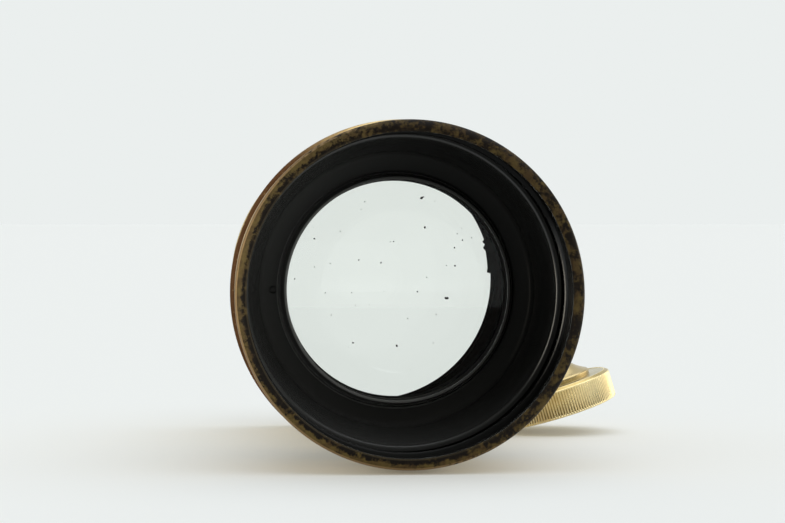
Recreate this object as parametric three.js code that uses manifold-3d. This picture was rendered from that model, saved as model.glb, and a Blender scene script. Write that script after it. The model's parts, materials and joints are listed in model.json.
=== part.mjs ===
// Brass portrait lens, lying on its side: a slip-on hood, a front cell with a cemented doublet, a focusing
// barrel with an air-spaced rear pair, and the fixed outer jacket that carries the rack-and-pinion drive
// and the mounting flange. Millimetres, +Z up, +Y along the optical axis from the mouth to the camera.
import * as THREE from 'three';
import { mergeVertices } from 'three/addons/utils/BufferGeometryUtils.js';
import Module from 'manifold-3d';

const wasm = await Module();
wasm.setup();

// ---- Driving dimensions. Stations run along the optical axis from the plane of the hood's outer edge. ----
const GAP = 0.3;                    // left between pieces that touch
const SEGMENTS = 40;                // facets round the large turned pieces
const SMALL_SEGMENTS = 20;          // facets round shafts and screws

const HOOD = { lip: 1.9, mouthR: 40.0, edgeR: 43.0, wallR: 42.9, boreR: 41.3, beadR: 44.0, bead: 23.5, end: 34.0 };
const RIDGE = { station: 13.8, r: 40.05, width: 1.2, ramp: 0.6 };
const CELL = { front: 25.0, mouthR: 39.4, seatR: HOOD.boreR - GAP, ledge: 47.0, ledgeR: 36.2, end: 65.0 };
const CELL_TAPER = [[41.4, 39.5], [39.2, 46.5], [37.6, 49.5], [35.0, 51.0]];   // [radius, station] behind its band
const RING = { front: 42.3, boreR: 29.1, threadR: 30.9, rear: 49.7 };
const DOUBLET = { r: 29.7, edge: 50.6, frontRadius: 116, cementRadius: 110, crownEdge: 1.6, rear: 58.1, stopR: 28.3 };
const BARREL = { outerR: 32.5, boreR: 30.9, front: 60.8, rear: 136.2 };
const REAR = { front: 118.0, stopR: 27.6, ledge: 120.6, boreR: 29.0, rimR: 32.3, rim: 136.5, end: 139.4 };
const PAIR = { r: 28.7, flintFront: 190, flintRear: 62, crownFront: 68, crownRear: 250, ringWidth: 1.5 };
const THICKNESS = { rearFlint: 1.8, crownEdge: 2.3 };   // on the axis, and at the edge
const JACKET = { boreR: 32.9, outerR: 35.9, beadR: 38.0, front: 77.0, rear: 139.7 };
const FLANGE = { outerR: 43.3, front: 134.4, hubR: 39.0, hubFront: 131.4, holeCircleR: 40.2, holeR: 1.7 };

const MODULE = 0.7;                 // gear module of the rack and pinion
const TEETH = 12;
const PRESSURE_ANGLE = THREE.MathUtils.degToRad(20);
const BACKLASH = 0.1;               // taken off each flank at the pitch line
// The rack reaches `rearward` whole teeth further behind the pinion, because the barrel racks out more than in.
const RACK = { teeth: 15, rearward: 3, width: 6.4, base: 32.8, pitchLine: 34.6, addendum: 0.49, dedendum: 0.875 };
const SLOT = { width: RACK.width + 2 * GAP, front: 80.6 };
const DRIVE_ANGLE = THREE.MathUtils.degToRad(16.7);   // the rack side leans this far up from level
const PINION = { station: 113, width: 6, shaftR: 2.5, shaftBoreR: 2.65, cavityR: 5.5, tail: -11, end: 44.6 };
const HOUSING = { halfLength: 11.5, halfWidth: 12, base: 33.6, lugTop: 41.3, domeR: 7.0 };
const BUSHING = { r: 4.6, beadR: 5.4, beadWidth: 2.6, end: 33.4 };
const KNOB = { r: 18.5, outer: 51.7, width: 8.6, chamfer: 0.6, bevel: 1.2, bevelDepth: 0.8, sink: 0.2 };
const HUB = { start: 34.0, r: 5.2, straight: 2.0, bossR: 12.9, bossHeight: 1.5 };   // the knob's trumpet
const DISH = { rim: 3.4, depth: 0.9, slope: 1.0, wellR: 5.4, wellDepth: 2.2, holeR: 1.5 };   // in its end face
const KNOB_SCREW = { r: 0.9, length: 6.0, headR: 3.4, headEdge: 0.9, headHeight: 1.6, crownR: 2.6, slot: 0.8 };
const CAP_SCREW = { along: 9.0, across: 8.8, shankR: 1.0, headR: 1.9, headHeight: 1.1, depth: 36.9 };

const PITCH_R = MODULE * TEETH / 2;
const PINION_AXIS = RACK.pitchLine + PITCH_R;         // distance of the pinion's axis from the optical axis
const SHAFT_TURN = -Math.PI / 2;                      // tips a turned piece's axis on to the shaft's

// The origin is at the middle of the lens's footprint, on the surface that the hood's bead rests on.
const KNOB_REACH = (PINION_AXIS + KNOB.r) * Math.cos(DRIVE_ANGLE)
  + (KNOB.outer - KNOB.chamfer) * Math.sin(DRIVE_ANGLE);
const AXIS_X = (HOOD.beadR - KNOB_REACH) / 2;
const AXIS_Z = HOOD.beadR;
const MIDDLE = (JACKET.rear - HOOD.lip) / 2;

// ---- Solids ----
function toManifold(geometry) {
  const bare = geometry.index ? geometry.clone() : geometry;
  bare.deleteAttribute('normal');
  bare.deleteAttribute('uv');
  const merged = mergeVertices(bare, 1e-4);
  const mesh = new wasm.Mesh({
    numProp: 3,
    vertProperties: new Float32Array(merged.attributes.position.array),
    triVerts: new Uint32Array(merged.index.array),
  });
  mesh.merge();
  return new wasm.Manifold(mesh);
}

function toGeometry(solid) {
  const mesh = solid.getMesh();
  const geometry = new THREE.BufferGeometry();
  geometry.setAttribute('position', new THREE.BufferAttribute(mesh.vertProperties, 3));
  geometry.setIndex(new THREE.BufferAttribute(mesh.triVerts, 1));
  geometry.computeVertexNormals();
  return geometry;
}

// A ring of metal turned on the optical axis: the outer outline runs front to rear, the inner one back again.
function turnedRing(outer, inner, segments = SEGMENTS) {
  const outline = [...outer, ...inner, outer[0]].map(([r, y]) => new THREE.Vector2(r, y));
  return new THREE.LatheGeometry(outline, segments);
}

// A solid turned piece whose outline starts and ends on its axis.
function turnedSolid(outline, segments = SEGMENTS) {
  return new THREE.LatheGeometry(outline.map(([r, y]) => new THREE.Vector2(r, y)), segments);
}

function cylinder(r, from, to, segments = SMALL_SEGMENTS) {
  const geometry = new THREE.CylinderGeometry(r, r, to - from, segments);
  geometry.translate(0, (from + to) / 2, 0);
  return geometry;
}

// A cylinder on the pinion's axis, between two distances measured from the rack's plane towards the knob.
function shaftCylinder(r, from, to, segments = SMALL_SEGMENTS) {
  const geometry = cylinder(r, from, to, segments);
  geometry.rotateX(SHAFT_TURN);
  geometry.translate(PINION_AXIS, PINION.station, 0);
  return geometry;
}

function box(lowX, highX, lowY, highY, lowZ, highZ) {
  const geometry = new THREE.BoxGeometry(highX - lowX, highY - lowY, highZ - lowZ);
  geometry.translate((lowX + highX) / 2, (lowY + highY) / 2, (lowZ + highZ) / 2);
  return geometry;
}

function cut(geometry, ...tools) {
  return toGeometry(tools.reduce((solid, tool) => solid.subtract(toManifold(tool)), toManifold(geometry)));
}

function join(geometry, ...others) {
  return toGeometry(others.reduce((solid, other) => solid.add(toManifold(other)), toManifold(geometry)));
}

function sagitta(radius, r) {
  return radius - Math.sqrt(radius * radius - r * r);
}

// Points on a lens surface from the axis to its edge. A positive radius bulges towards the mouth.
function lensSurface(vertex, radius, edgeR, steps = 4) {
  const points = [];
  for (let i = 0; i <= steps; i++) {
    const r = edgeR * i / steps;
    points.push([r, vertex + Math.sign(radius) * sagitta(Math.abs(radius), r)]);
  }
  return points;
}

function lens(frontVertex, frontRadius, rearVertex, rearRadius, edgeR) {
  const front = lensSurface(frontVertex, frontRadius, edgeR);
  const rear = lensSurface(rearVertex, rearRadius, edgeR).reverse();
  return turnedSolid([...front, ...rear], 36);
}

// ---- Materials ----
function blackLacquer() {
  return new THREE.MeshStandardMaterial({ color: 0x24201b, roughness: 0.35, metalness: 0.4 });
}

function brass() {
  return new THREE.MeshStandardMaterial({ color: 0xb08d4a, roughness: 0.35, metalness: 1 });
}

function steel() {
  return new THREE.MeshStandardMaterial({ color: 0x6e6c68, roughness: 0.4, metalness: 1 });
}

function glass() {
  return new THREE.MeshStandardMaterial({ color: 0xdfe6de, roughness: 0.02, metalness: 0, transparent: true,
    opacity: 0.35 });
}

function piece(name, geometry, material) {
  const mesh = new THREE.Mesh(geometry, material);
  mesh.name = name;
  return mesh;
}

// ---- Hood and front cell ----
function roundedLip(steps = 4) {
  const points = [];
  for (let i = 0; i <= steps; i++) {
    const turn = Math.PI / 2 * i / steps;
    points.push([HOOD.mouthR + (HOOD.edgeR - HOOD.mouthR) * Math.sin(turn), -HOOD.lip * Math.cos(turn)]);
  }
  return points;
}

function hoodBead(steps = 6) {
  const points = [];
  for (let i = 0; i <= steps; i++) {
    const turn = Math.PI * i / steps;
    const height = (HOOD.beadR - HOOD.wallR) * Math.sin(turn);
    points.push([HOOD.wallR + height, HOOD.bead - 1.6 * Math.cos(turn)]);
  }
  return points;
}

function hood() {
  const outer = [...roundedLip(), [HOOD.wallR, 0.8], ...hoodBead(), [HOOD.wallR, HOOD.end]];
  const ridge = RIDGE.width / 2;
  const inner = [
    [HOOD.boreR, HOOD.end],
    [HOOD.boreR, RIDGE.station + ridge + RIDGE.ramp],
    [RIDGE.r, RIDGE.station + ridge],
    [RIDGE.r, RIDGE.station - ridge],
    [HOOD.boreR, RIDGE.station - ridge - RIDGE.ramp],
    [HOOD.boreR, 1.6],
    [HOOD.mouthR, 0.6],
  ];
  return piece('hood', turnedRing(outer, inner), blackLacquer());
}

const LOCK_SCREW = { r: 32.6, holeR: 1.0, screwR: 0.7, depth: 2.6 };

function frontCell() {
  const outer = [
    [CELL.mouthR, CELL.front],
    [CELL.seatR, CELL.front + 0.7],
    [CELL.seatR, HOOD.end + GAP],
    [HOOD.edgeR, HOOD.end + GAP],
    [HOOD.edgeR, HOOD.end + 4.5],
    ...CELL_TAPER,
    [CELL_TAPER[3][0], CELL.end],
  ];
  const inner = [
    [BARREL.outerR + GAP, CELL.end],
    [BARREL.outerR + GAP, BARREL.front - GAP],
    [DOUBLET.stopR, BARREL.front - GAP],
    [DOUBLET.stopR, DOUBLET.rear + GAP],
    [DOUBLET.r + GAP, DOUBLET.rear + GAP],
    [DOUBLET.r + GAP, RING.rear + GAP],
    [RING.threadR + GAP, RING.rear + GAP],
    [RING.threadR + GAP, CELL.ledge],
    [CELL.ledgeR, CELL.ledge],
  ];
  const hole = cylinder(LOCK_SCREW.holeR, CELL.ledge - 1, CELL.ledge + LOCK_SCREW.depth, 12);
  hole.translate(-LOCK_SCREW.r, 0, 0);
  return piece('front_cell', cut(turnedRing(outer, inner), hole), blackLacquer());
}

function ringLockScrew() {
  const geometry = cylinder(LOCK_SCREW.screwR, CELL.ledge + 0.2, CELL.ledge + LOCK_SCREW.depth - GAP, 12);
  geometry.translate(-LOCK_SCREW.r, 0, 0);
  return piece('ring_lock_screw', geometry, steel());
}

function frontRetainingRing() {
  const outer = [
    [RING.boreR, RING.front],
    [RING.boreR + 0.6, RING.front + 0.2],
    [RING.threadR - 0.3, CELL.ledge - 0.4],
    [RING.threadR, CELL.ledge],
    [RING.threadR, RING.rear],
    [DOUBLET.r, RING.rear + 0.4],
  ];
  return piece('front_retaining_ring', turnedRing(outer, [[RING.boreR, RING.rear + 0.4]]), blackLacquer());
}

const CROWN_FRONT_VERTEX = DOUBLET.edge - sagitta(DOUBLET.frontRadius, DOUBLET.r);
const CEMENT_VERTEX = DOUBLET.edge + DOUBLET.crownEdge + sagitta(DOUBLET.cementRadius, DOUBLET.r);
const CEMENT_GAP = 0.1;

function frontCrown() {
  const geometry = lens(CROWN_FRONT_VERTEX, DOUBLET.frontRadius, CEMENT_VERTEX, -DOUBLET.cementRadius, DOUBLET.r);
  return piece('front_crown', geometry, glass());
}

function frontFlint() {
  const front = lensSurface(CEMENT_VERTEX + CEMENT_GAP, -DOUBLET.cementRadius, DOUBLET.r);
  const geometry = turnedSolid([...front, [DOUBLET.r, DOUBLET.rear], [0, DOUBLET.rear]], 36);
  return piece('front_flint', geometry, glass());
}

// ---- Barrel and rear cell ----
const RACK_SCREW = { shankR: 0.75, headR: 1.5, headHeight: 0.5, tip: 33.3, stations: [107.1, 115.9] };

function radialCylinder(r, from, to, station, segments = 12) {
  const geometry = cylinder(r, from, to, segments);
  geometry.rotateZ(-Math.PI / 2);
  geometry.translate(0, station, 0);
  return geometry;
}

function innerBarrel() {
  const outer = [[BARREL.outerR, BARREL.front], [BARREL.outerR, BARREL.rear]];
  const inner = [[BARREL.boreR, BARREL.rear], [BARREL.boreR, BARREL.front]];
  const through = [BARREL.boreR - 2, BARREL.outerR + 1.5];
  const holes = RACK_SCREW.stations.map((y) => radialCylinder(RACK_SCREW.shankR + GAP, ...through, y));
  return piece('inner_barrel', cut(turnedRing(outer, inner), ...holes), brass());
}

function rearCell() {
  const outer = [
    [REAR.stopR, REAR.front],
    [BARREL.boreR - GAP, REAR.front],
    [BARREL.boreR - GAP, REAR.rim],
    [REAR.rimR, REAR.rim],
    [REAR.rimR, REAR.end],
  ];
  const inner = [[REAR.boreR, REAR.end], [REAR.boreR, REAR.ledge], [REAR.stopR, REAR.ledge]];
  return piece('rear_cell', turnedRing(outer, inner), blackLacquer());
}

const FLINT_FRONT_VERTEX = REAR.ledge + GAP - sagitta(PAIR.flintFront, REAR.stopR);
const FLINT_REAR_VERTEX = FLINT_FRONT_VERTEX + THICKNESS.rearFlint;
const SPACER_FRONT = FLINT_REAR_VERTEX + sagitta(PAIR.flintRear, PAIR.r) + GAP;
const SPACER_WIDTH = 1.4;
const SPACER_BORE_R = PAIR.r - 0.9;
const CROWN_BULGE = sagitta(PAIR.crownFront, PAIR.r) - sagitta(PAIR.crownFront, SPACER_BORE_R);
const CROWN_EDGE_FRONT = SPACER_FRONT + SPACER_WIDTH + CROWN_BULGE + GAP / 2;
const CROWN_EDGE_REAR = CROWN_EDGE_FRONT + THICKNESS.crownEdge;

function rearFlint() {
  const geometry = lens(FLINT_FRONT_VERTEX, PAIR.flintFront, FLINT_REAR_VERTEX, PAIR.flintRear, PAIR.r);
  return piece('rear_flint', geometry, glass());
}

function rearCrown() {
  const frontVertex = CROWN_EDGE_FRONT - sagitta(PAIR.crownFront, PAIR.r);
  const rearVertex = CROWN_EDGE_REAR + sagitta(PAIR.crownRear, PAIR.r);
  return piece('rear_crown', lens(frontVertex, PAIR.crownFront, rearVertex, -PAIR.crownRear, PAIR.r), glass());
}

function plainRing(name, innerR, outerR, front, rear, material) {
  const geometry = turnedRing([[outerR, front], [outerR, rear]], [[innerR, rear], [innerR, front]]);
  return piece(name, geometry, material);
}

// ---- Rack and pinion, drawn with the rack on +X and the knob towards -Z ----
function rackOutline() {
  const pitch = Math.PI * MODULE;
  const slope = Math.tan(PRESSURE_ANGLE);
  const half = pitch / 4 - BACKLASH;
  const tip = half - RACK.addendum * slope;
  const root = half + RACK.dedendum * slope;
  const first = PINION.station - ((RACK.teeth - 1) / 2 - RACK.rearward) * pitch;
  const shape = new THREE.Shape();
  shape.moveTo(RACK.base, first - pitch / 2);
  for (let i = 0; i < RACK.teeth; i++) {
    const y = first + i * pitch;
    shape.lineTo(RACK.pitchLine - RACK.dedendum, y - root);
    shape.lineTo(RACK.pitchLine + RACK.addendum, y - tip);
    shape.lineTo(RACK.pitchLine + RACK.addendum, y + tip);
    shape.lineTo(RACK.pitchLine - RACK.dedendum, y + root);
  }
  shape.lineTo(RACK.base, first + (RACK.teeth - 0.5) * pitch);
  return shape;
}

function rack() {
  const geometry = new THREE.ExtrudeGeometry(rackOutline(), { depth: RACK.width, bevelEnabled: false });
  geometry.translate(0, 0, -RACK.width / 2);
  const drilled = [RACK.base - 1.8, RACK_SCREW.tip + 0.2];
  const holes = RACK_SCREW.stations.map((y) => radialCylinder(RACK_SCREW.shankR + 0.2, ...drilled, y));
  return piece('rack', cut(geometry, ...holes), brass());
}

function rackScrew(name, station) {
  const head = RACK_SCREW.headHeight;
  const shank = radialCylinder(RACK_SCREW.shankR, BARREL.boreR - 0.6, RACK_SCREW.tip, station);
  const cap = radialCylinder(RACK_SCREW.headR, BARREL.boreR - 0.4 - head, BARREL.boreR - 0.4, station);
  return piece(name, join(shank, cap), steel());
}

// Point at radius r on an involute flank that starts at base radius baseR, as an angle from its start.
function involuteAngle(r, baseR) {
  const pressure = Math.acos(Math.min(1, baseR / r));
  return Math.tan(pressure) - pressure;
}

function gearOutline() {
  const baseR = PITCH_R * Math.cos(PRESSURE_ANGLE);
  const rootR = PITCH_R - RACK.dedendum;
  const tipR = PITCH_R + MODULE;
  const halfAtPitch = (Math.PI * MODULE / 4 - BACKLASH) / PITCH_R;
  const half = (r) => halfAtPitch + involuteAngle(PITCH_R, baseR) - involuteAngle(Math.max(r, baseR), baseR);
  const radii = [rootR, baseR, (baseR + tipR) / 2, tipR];
  const points = [];
  for (let i = 0; i < TEETH; i++) {
    const middle = Math.PI + (i + 0.5) * 2 * Math.PI / TEETH;
    radii.forEach((r) => points.push([r, middle - half(r)]));
    [...radii].reverse().forEach((r) => points.push([r, middle + half(r)]));
  }
  return new THREE.Shape(points.map(([r, a]) => new THREE.Vector2(r * Math.cos(a), r * Math.sin(a))));
}

function pinionShaft() {
  const gear = new THREE.ExtrudeGeometry(gearOutline(), { depth: PINION.width, bevelEnabled: false });
  gear.translate(PINION_AXIS, PINION.station, -PINION.width / 2);
  const shaft = shaftCylinder(PINION.shaftR, PINION.tail, PINION.end);
  const screwHole = shaftCylinder(1.2, PINION.end - 7, PINION.end + 1, 12);
  return piece('pinion_shaft', cut(join(gear, shaft), screwHole), steel());
}

function gearCavity() {
  return shaftCylinder(PINION.cavityR, -PINION.width / 2 - 0.5, PINION.width / 2 + 0.5, 24);
}

function shaftBore() {
  return shaftCylinder(PINION.shaftBoreR, -HOUSING.halfWidth - 1, HOUSING.halfWidth + 1);
}

function capScrewPlaces() {
  const places = [];
  for (const along of [-CAP_SCREW.along, CAP_SCREW.along]) {
    for (const across of [-CAP_SCREW.across, CAP_SCREW.across]) {
      places.push([PINION.station + along, across]);
    }
  }
  return places;
}

function capScrewHoles() {
  return capScrewPlaces().map(([y, z]) => {
    const hole = radialCylinder(CAP_SCREW.shankR + GAP, CAP_SCREW.depth - 0.4, HOUSING.lugTop + 1, y);
    hole.translate(0, 0, z);
    return hole;
  });
}

function pinionHousing() {
  const low = PINION.station - HOUSING.halfLength;
  const high = PINION.station + HOUSING.halfLength;
  const block = box(HOUSING.base, PINION_AXIS - GAP / 2, low, high, -HOUSING.halfWidth, HOUSING.halfWidth);
  const seat = cylinder(JACKET.outerR + GAP, low - 1, high + 1, 96);
  const geometry = cut(block, seat, gearCavity(), shaftBore(), ...capScrewHoles());
  return piece('pinion_housing', geometry, brass());
}

function pinionCap() {
  const low = PINION.station - HOUSING.halfLength;
  const high = PINION.station + HOUSING.halfLength;
  const base = PINION_AXIS + GAP / 2;
  const domeStart = Math.asin((HOUSING.lugTop - PINION_AXIS) / HOUSING.domeR);
  const shape = new THREE.Shape();
  shape.moveTo(base, low);
  shape.lineTo(HOUSING.lugTop, low);
  const steps = 10;
  for (let i = 0; i <= steps; i++) {
    const turn = Math.PI - domeStart - (Math.PI - 2 * domeStart) * i / steps;
    const x = PINION_AXIS + HOUSING.domeR * Math.sin(turn);
    shape.lineTo(x, PINION.station + HOUSING.domeR * Math.cos(turn));
  }
  shape.lineTo(HOUSING.lugTop, high);
  shape.lineTo(base, high);
  const geometry = new THREE.ExtrudeGeometry(shape, { depth: 2 * HOUSING.halfWidth, bevelEnabled: false });
  geometry.translate(0, 0, -HOUSING.halfWidth);
  return piece('pinion_cap', cut(geometry, gearCavity(), shaftBore(), ...capScrewHoles()), brass());
}

function capScrew(name, station, across) {
  const shank = radialCylinder(CAP_SCREW.shankR, CAP_SCREW.depth, HOUSING.lugTop + GAP + 0.1, station);
  const headBase = HOUSING.lugTop + GAP;
  const head = radialCylinder(CAP_SCREW.headR, headBase, headBase + CAP_SCREW.headHeight, station, 16);
  const slot = box(headBase + 0.6, headBase + 2, station - 0.3, station + 0.3, -3, 3);
  const mesh = piece(name, cut(join(shank, head), slot), steel());
  mesh.position.z = across;
  return mesh;
}

// Pieces turned about the shaft: their outlines give distances from the rack's plane towards the knob.
function onShaft(mesh) {
  mesh.rotation.x = SHAFT_TURN;
  mesh.position.set(PINION_AXIS, PINION.station, 0);
  return mesh;
}

function shaftBushing() {
  const start = HOUSING.halfWidth + GAP;
  const outer = [
    [BUSHING.r, start],
    [BUSHING.r, BUSHING.end - BUSHING.beadWidth - 0.6],
    [BUSHING.beadR, BUSHING.end - BUSHING.beadWidth],
    [BUSHING.beadR, BUSHING.end],
  ];
  const inner = [[PINION.shaftBoreR, BUSHING.end], [PINION.shaftBoreR, start]];
  return onShaft(piece('shaft_bushing', turnedRing(outer, inner, 24), brass()));
}

// The hub flares like a trumpet from the shaft to a low boss on the knob's inner face.
function trumpet(steps = 5) {
  const boss = KNOB.outer - KNOB.width - HUB.bossHeight;
  const height = boss - HUB.start - HUB.straight;
  const points = [];
  for (let i = 0; i <= steps; i++) {
    const turn = Math.PI / 2 * i / steps;
    const r = HUB.bossR - (HUB.bossR - HUB.r) * Math.sin(turn);
    points.push([r, boss - height * (1 - Math.cos(turn))]);
  }
  return points.reverse();
}

function focusKnob() {
  const inner = KNOB.outer - KNOB.width;
  const land = inner + KNOB.sink;
  const well = KNOB.outer - DISH.wellDepth;
  const outline = [
    [PINION.shaftR + GAP, HUB.start],
    [HUB.r, HUB.start],
    ...trumpet(),
    [HUB.bossR, land],
    [KNOB.r - KNOB.bevel - KNOB.sink, land],
    [KNOB.r - KNOB.bevel, inner],
    [KNOB.r, inner + KNOB.bevelDepth],
    [KNOB.r, KNOB.outer - KNOB.chamfer],
    [KNOB.r - KNOB.chamfer, KNOB.outer],
    [KNOB.r - DISH.rim, KNOB.outer],
    [KNOB.r - DISH.rim - DISH.slope, KNOB.outer - DISH.depth],
    [DISH.wellR + 0.8, KNOB.outer - DISH.depth],
    [DISH.wellR, well],
    [DISH.holeR, well],
    [DISH.holeR, PINION.end + GAP],
    [PINION.shaftR + GAP, PINION.end + GAP],
  ];
  return onShaft(piece('focus_knob', turnedRing(outline, []), brass()));
}

function knobScrew() {
  const seat = KNOB.outer - DISH.wellDepth + GAP;
  const shoulder = seat + KNOB_SCREW.headEdge;
  const outline = [
    [0, PINION.end - KNOB_SCREW.length],
    [KNOB_SCREW.r, PINION.end - KNOB_SCREW.length],
    [KNOB_SCREW.r, seat],
    [KNOB_SCREW.headR, seat],
    [KNOB_SCREW.headR, shoulder],
    [KNOB_SCREW.crownR, seat + KNOB_SCREW.headHeight],
    [0, seat + KNOB_SCREW.headHeight],
  ];
  const half = KNOB_SCREW.slot / 2;
  const slot = box(-KNOB_SCREW.headR - 1, KNOB_SCREW.headR + 1, shoulder, seat + 3, -half, half);
  return onShaft(piece('knob_screw', cut(turnedSolid(outline, 24), slot), steel()));
}

// ---- Jacket and flange ----
function outerJacket() {
  const outer = [
    [JACKET.outerR, JACKET.front],
    [JACKET.beadR, JACKET.front + 0.5],
    [JACKET.beadR, JACKET.front + 2.5],
    [JACKET.outerR, JACKET.front + 3.2],
    [JACKET.outerR, JACKET.rear],
  ];
  const inner = [[JACKET.boreR, JACKET.rear], [JACKET.boreR, JACKET.front]];
  const half = SLOT.width / 2;
  const slot = box(JACKET.boreR - 1, JACKET.beadR + 1, SLOT.front, JACKET.rear + 1, -half, half);
  return piece('outer_jacket', cut(turnedRing(outer, inner), slot), brass());
}

function mountingFlange() {
  const outer = [
    [FLANGE.hubR, FLANGE.hubFront],
    [FLANGE.hubR, FLANGE.front],
    [FLANGE.outerR - 0.5, FLANGE.front],
    [FLANGE.outerR, FLANGE.front + 0.5],
    [FLANGE.outerR, JACKET.rear],
  ];
  const boreR = JACKET.outerR + GAP;
  const inner = [[boreR, JACKET.rear], [boreR, FLANGE.hubFront]];
  const holes = [30, 150, 270].map((degrees) => {
    const angle = THREE.MathUtils.degToRad(degrees);
    const hole = cylinder(FLANGE.holeR, FLANGE.front - 1, JACKET.rear + 1, 16);
    hole.translate(FLANGE.holeCircleR * Math.cos(angle), 0, FLANGE.holeCircleR * Math.sin(angle));
    return hole;
  });
  return piece('mounting_flange', cut(turnedRing(outer, inner), ...holes), brass());
}

// ---- Assembly ----
function opticsGroup() {
  const group = new THREE.Group();
  const spacerRear = SPACER_FRONT + SPACER_WIDTH;
  const ringFront = CROWN_EDGE_REAR + GAP;
  group.add(frontCell(), ringLockScrew(), frontRetainingRing(), frontCrown(), frontFlint());
  group.add(rearCell(), rearFlint(), rearCrown());
  group.add(plainRing('rear_spacer_ring', SPACER_BORE_R, PAIR.r, SPACER_FRONT, spacerRear, blackLacquer()));
  const ringBore = PAIR.r - PAIR.ringWidth;
  group.add(plainRing('rear_retaining_ring', ringBore, PAIR.r, ringFront, ringFront + 3, blackLacquer()));
  return group;
}

function driveGroup() {
  const group = new THREE.Group();
  group.rotation.y = -DRIVE_ANGLE;
  group.add(innerBarrel(), rack(), outerJacket(), pinionHousing(), pinionCap());
  group.add(shaftBushing(), pinionShaft(), focusKnob(), knobScrew());
  RACK_SCREW.stations.forEach((station, i) => group.add(rackScrew(`rack_screw_${i + 1}`, station)));
  capScrewPlaces().forEach(([station, across], i) => group.add(capScrew(`cap_screw_${i + 1}`, station, across)));
  return group;
}

const lensAssembly = new THREE.Group();
lensAssembly.position.set(AXIS_X, -MIDDLE, AXIS_Z);
lensAssembly.add(hood(), opticsGroup(), mountingFlange(), driveGroup());

export default lensAssembly;
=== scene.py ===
# Looks of the brass portrait lens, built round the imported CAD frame.
# Metres, +Z up, +Y along the optical axis from the mouth to the camera.
import json
import math
import random

import bmesh
import bpy
from mathutils import Matrix, Vector

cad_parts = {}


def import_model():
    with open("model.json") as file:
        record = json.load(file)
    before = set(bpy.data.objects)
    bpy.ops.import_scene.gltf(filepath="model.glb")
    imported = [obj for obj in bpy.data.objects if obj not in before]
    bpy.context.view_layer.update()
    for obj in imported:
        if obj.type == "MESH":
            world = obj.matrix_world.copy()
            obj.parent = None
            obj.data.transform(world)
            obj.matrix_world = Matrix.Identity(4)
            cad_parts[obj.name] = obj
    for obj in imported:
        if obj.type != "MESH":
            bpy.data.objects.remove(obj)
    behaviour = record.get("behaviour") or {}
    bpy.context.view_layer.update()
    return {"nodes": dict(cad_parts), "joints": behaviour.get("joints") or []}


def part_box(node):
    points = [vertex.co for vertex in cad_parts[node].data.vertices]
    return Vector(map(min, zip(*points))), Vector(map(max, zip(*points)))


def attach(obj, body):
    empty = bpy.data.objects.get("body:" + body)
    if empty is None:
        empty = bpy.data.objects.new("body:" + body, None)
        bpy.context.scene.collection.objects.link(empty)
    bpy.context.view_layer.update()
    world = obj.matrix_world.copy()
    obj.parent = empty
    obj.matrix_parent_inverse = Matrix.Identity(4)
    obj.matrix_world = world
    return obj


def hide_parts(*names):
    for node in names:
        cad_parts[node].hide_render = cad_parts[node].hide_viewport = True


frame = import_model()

MM = 0.001

# ---- Places taken from the frame ----
# Stations run along the optical axis from the plane of the hood's edge.
HOOD_LOW, HOOD_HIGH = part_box("hood")
AXIS_X = (HOOD_LOW.x + HOOD_HIGH.x) / 2
AXIS_Z = (HOOD_LOW.z + HOOD_HIGH.z) / 2
LIP = 1.9
RIM_Y = HOOD_LOW.y + LIP * MM
PINION = next(joint for joint in frame["joints"] if joint["name"] == "pinion_spin")
DRIVE_ANGLE = math.atan2(PINION["axis"][0], -PINION["axis"][2])
PINION_STATION = (PINION["pos_m"][1] - RIM_Y) / MM
PINION_R = math.hypot(PINION["pos_m"][0] - AXIS_X, PINION["pos_m"][2] - AXIS_Z) / MM

# Lens frame: millimetres, y from the rim plane, x and z from the optical axis.
LENS = Matrix.Translation((AXIS_X, RIM_Y, AXIS_Z)) @ Matrix.Scale(MM, 4)
# Drive frame: the same, turned so that the rack is on +X and the knob towards -Z.
DRIVE = LENS @ Matrix.Rotation(-DRIVE_ANGLE, 4, "Y")
# Shaft frame: y runs from the rack's plane towards the knob, on the pinion's axis.
SHAFT = DRIVE @ Matrix.Translation((PINION_R, PINION_STATION, 0)) @ Matrix.Rotation(-math.pi / 2, 4, "X")

GAP = 0.3
ROUND = 192                                    # steps round the large turned pieces
FILLET_STEPS = 4
SHARP = math.radians(32)                       # an edge that turns more than this shades as a corner


# ---- Shapes ----
def rounded(points, closed):
    """Outline points (r, s) or (r, s, fillet), with each filleted corner drawn as a short curve."""
    outline = []
    count = len(points)
    for i, (r, s, *fillet) in enumerate(points):
        corner = Vector((r, s))
        if not fillet or (not closed and i in (0, count - 1)):
            outline.append(corner)
            continue
        before = Vector(points[i - 1][:2]) - corner
        after = Vector(points[(i + 1) % count][:2]) - corner
        reach = min(fillet[0], before.length * 0.45, after.length * 0.45)
        start = corner + before.normalized() * reach
        end = corner + after.normalized() * reach
        for k in range(FILLET_STEPS + 1):
            t = k / FILLET_STEPS
            outline.append(start * (1 - t) ** 2 + corner * 2 * t * (1 - t) + end * t ** 2)
    return outline


def mesh_object(name, build, place):
    """A mesh object from a bmesh that build fills in, in the millimetres of the frame given by place."""
    bm = bmesh.new()
    build(bm)
    bmesh.ops.recalc_face_normals(bm, faces=bm.faces)
    bm.transform(place)
    mesh = bpy.data.meshes.new(name)
    bm.to_mesh(mesh)
    bm.free()
    mesh.shade_smooth()
    mesh.set_sharp_from_angle(angle=SHARP)
    obj = bpy.data.objects.new(name, mesh)
    bpy.context.scene.collection.objects.link(obj)
    return obj


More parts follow.
